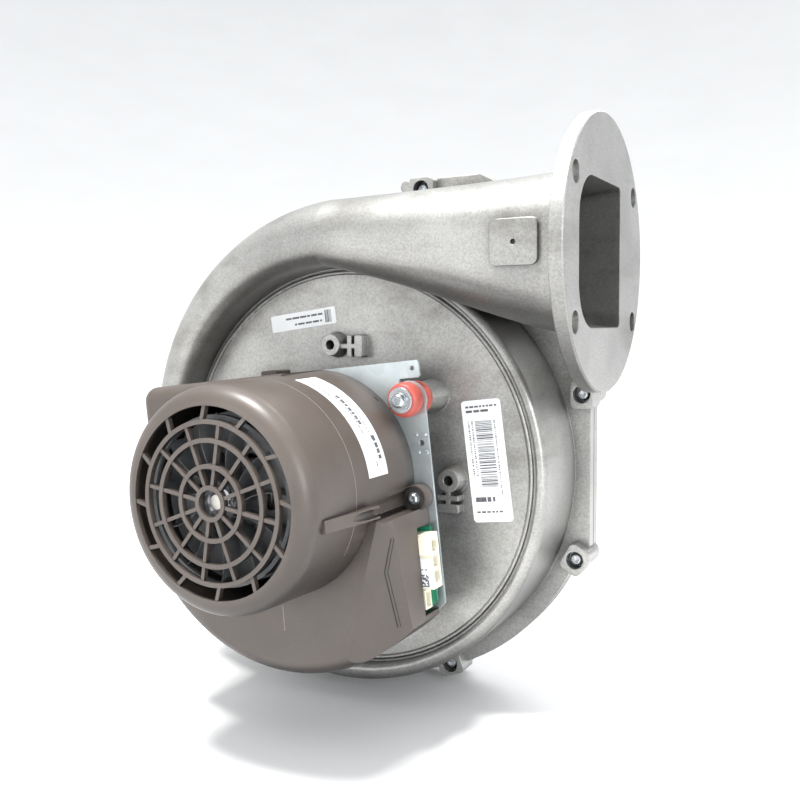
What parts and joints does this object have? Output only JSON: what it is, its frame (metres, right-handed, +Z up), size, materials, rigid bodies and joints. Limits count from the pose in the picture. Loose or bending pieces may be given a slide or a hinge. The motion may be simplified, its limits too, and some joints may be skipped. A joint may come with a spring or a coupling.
{
  "type": "combustion fan",
  "caption": "Premix combustion fan: die-cast scroll housing with round outlet flange, shrouded radial impeller and a covered EC motor on a rubber-mounted carrier plate.",
  "frame": {"origin": "centre of the rear inlet face, on the motor axis", "axes": "+Y out of the inlet along the motor axis (the motor is on the -Y side), +X out of the outlet flange, +Z up"},
  "size_m": [0.2953, 0.208, 0.3217],
  "materials": {
    "cast_aluminium": "as-cast, mottled satin",
    "gasket_fibre": "matte",
    "zinc_screws": "zinc plated",
    "seal_felt": "matte",
    "zinc_sheet": "zinc-plated sheet, satin",
    "red_silicone": "soft sheen",
    "machined_aluminium": "turned",
    "lamination_steel": "stacked sheets",
    "insulator_plastic": "moulded",
    "copper_wire": "enamelled copper",
    "ground_steel": "ground",
    "magnet_ferrite": "ferrite",
    "sheet_aluminium": "rolled sheet",
    "fan_plastic": "glass-filled plastic",
    "spring_steel": "oiled",
    "bearing_steel": "polished",
    "cage_plastic": "moulded",
    "board_green": "solder mask",
    "standoff_nylon": "nylon",
    "capacitor_sleeve": "printed sleeve",
    "choke_core": "ferrite",
    "black_anodised": "extruded",
    "component_black": "moulded",
    "connector_cream": "moulded",
    "tinned_pins": "tinned",
    "cover_brown": "fine spark-eroded grain",
    "bush_rubber": "matte",
    "label_white": "printed film"
  },
  "bodies": {
    "housing": {"front_housing": "cast_aluminium", "rear_housing": "cast_aluminium", "housing_gasket": "gasket_fibre", "housing_screws": "zinc_screws", "shaft_seal": "seal_felt", "motor_carrier": "zinc_sheet", "rubber_grommets": "red_silicone", "grommet_sleeves": "machined_aluminium", "carrier_washers": "zinc_screws", "carrier_screws": "zinc_screws", "rear_shield": "cast_aluminium", "front_shield": "cast_aluminium", "motor_bolts": "zinc_screws", "carrier_rivets": "machined_aluminium", "stator_core": "lamination_steel", "stator_insulators": "insulator_plastic", "stator_windings": "copper_wire", "circuit_board": "board_green", "board_standoffs": "standoff_nylon", "board_capacitors": "capacitor_sleeve", "board_choke": "choke_core", "heat_sink": "black_anodised", "power_modules": "component_black", "mains_connector": "connector_cream", "mains_pins": "tinned_pins", "signal_connector": "connector_cream", "motor_cover": "cover_brown", "cover_bush": "bush_rubber", "cover_screw": "zinc_screws", "rating_label": "label_white", "maker_label": "label_white", "cover_label": "label_white", "connector_label": "label_white", "front_bearing_outer_race": "bearing_steel", "rear_bearing_outer_race": "bearing_steel"},
    "rotor": {"rotor_shaft": "ground_steel", "rotor_core": "lamination_steel", "rotor_magnets": "magnet_ferrite", "impeller_hub": "machined_aluminium", "impeller_backplate": "sheet_aluminium", "impeller_shroud": "sheet_aluminium", "impeller_blades": "sheet_aluminium", "impeller_washer": "zinc_screws", "impeller_nut": "zinc_screws", "cooling_fan": "fan_plastic", "fan_clip": "spring_steel", "front_bearing_inner_race": "bearing_steel", "rear_bearing_inner_race": "bearing_steel"},
    "front_cage": {"front_bearing_balls": "bearing_steel", "front_bearing_cage": "cage_plastic"},
    "rear_cage": {"rear_bearing_balls": "bearing_steel", "rear_bearing_cage": "cage_plastic"}
  },
  "joints": [
    {"name": "rotor_spin", "type": "hinge", "parent": "housing", "child": "rotor", "pos_m": [0, 0, 0], "axis": [0, 1, 0], "continuous": true},
    {"name": "front_cage_spin", "type": "hinge", "parent": "housing", "child": "front_cage", "pos_m": [0, 0, 0], "axis": [0, 1, 0], "continuous": true},
    {"name": "rear_cage_spin", "type": "hinge", "parent": "housing", "child": "rear_cage", "pos_m": [0, 0, 0], "axis": [0, 1, 0], "continuous": true}
  ],
  "couplings": [
    {"joint": "front_cage_spin", "follows": "rotor_spin", "ratio": 0.37667},
    {"joint": "rear_cage_spin", "follows": "rotor_spin", "ratio": 0.37667}
  ]
}
